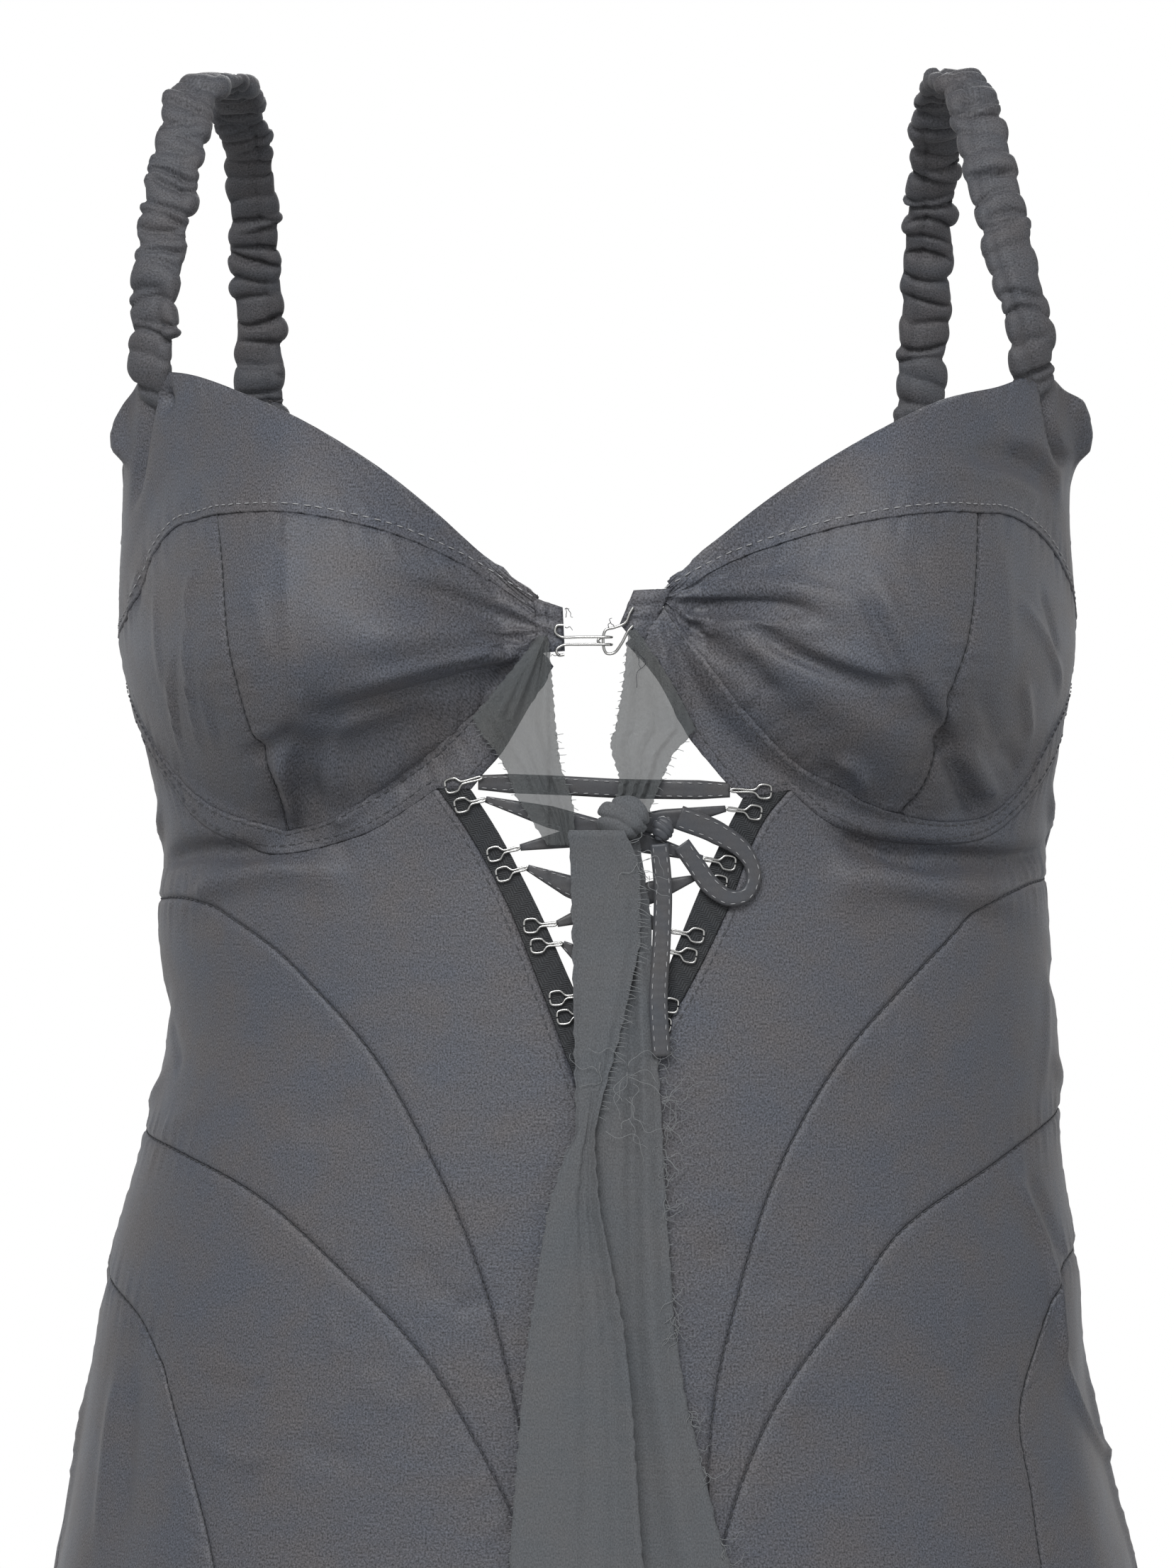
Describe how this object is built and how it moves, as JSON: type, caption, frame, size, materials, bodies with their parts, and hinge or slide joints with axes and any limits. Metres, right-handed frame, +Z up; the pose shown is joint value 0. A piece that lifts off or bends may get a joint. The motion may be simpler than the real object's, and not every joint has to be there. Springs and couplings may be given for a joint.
{
  "type": "strappy dress, filled out as if worn, with no wearer",
  "caption": "Knee-length satin dress with ruched straps, wired cups, a laced window under the bust, a tied chiffon scarf and a gored skirt, hollow and open at neck, armholes and hem.",
  "frame": {"origin": "midway between the two straps, level with the undersides of the straps where they rest on the wearer's shoulders", "axes": "+Z up, the dress's front faces -Y, +X is the right-hand side as seen from the front"},
  "size_m": [0.5116, 0.3573, 1.0056],
  "materials": {
    "satin": "satin",
    "chiffon": "matt",
    "tape": "matt",
    "ribbon": "satin",
    "wire": "polished"
  },
  "bodies": {
    "root": {"cup_top_left": "satin", "cup_outer_left": "satin", "cup_inner_left": "satin", "wire_casing_left": "satin", "centre_gore_left": "satin", "middle_gore_left": "satin", "lower_gore_left": "satin", "hip_gore_left": "satin", "cup_top_right": "satin", "cup_outer_right": "satin", "cup_inner_right": "satin", "wire_casing_right": "satin", "centre_gore_right": "satin", "middle_gore_right": "satin", "lower_gore_right": "satin", "hip_gore_right": "satin", "back_side_right": "satin", "back_right": "satin", "back_left": "satin", "back_side_left": "satin", "strap_left": "satin", "strap_right": "satin", "tab_left": "satin", "tab_right": "satin", "tape_left": "tape", "tape_right": "tape", "lace_top": "ribbon", "lace_falling_1": "ribbon", "lace_rising_1": "ribbon", "lace_falling_3": "ribbon", "lace_rising_3": "ribbon", "lace_falling_5": "ribbon", "lace_rising_5": "ribbon", "lace_bottom": "ribbon", "lace_knot": "ribbon", "lace_bow": "ribbon", "lace_end": "ribbon", "scarf_strip_left": "chiffon", "scarf_strip_right": "chiffon", "scarf_knot": "chiffon", "scarf_tail_front": "chiffon", "scarf_tail_back": "chiffon", "clasp_hook": "wire", "clasp_eye": "wire", "lacing_hook_left_1": "wire", "lacing_hook_left_2": "wire", "lacing_hook_left_3": "wire", "lacing_hook_left_4": "wire", "lacing_hook_left_5": "wire", "lacing_hook_left_6": "wire", "lacing_hook_left_7": "wire", "lacing_hook_left_8": "wire", "lacing_hook_right_1": "wire", "lacing_hook_right_2": "wire", "lacing_hook_right_3": "wire", "lacing_hook_right_4": "wire", "lacing_hook_right_5": "wire", "lacing_hook_right_6": "wire", "lacing_hook_right_7": "wire", "lacing_hook_right_8": "wire"}
  },
  "joints": []
}
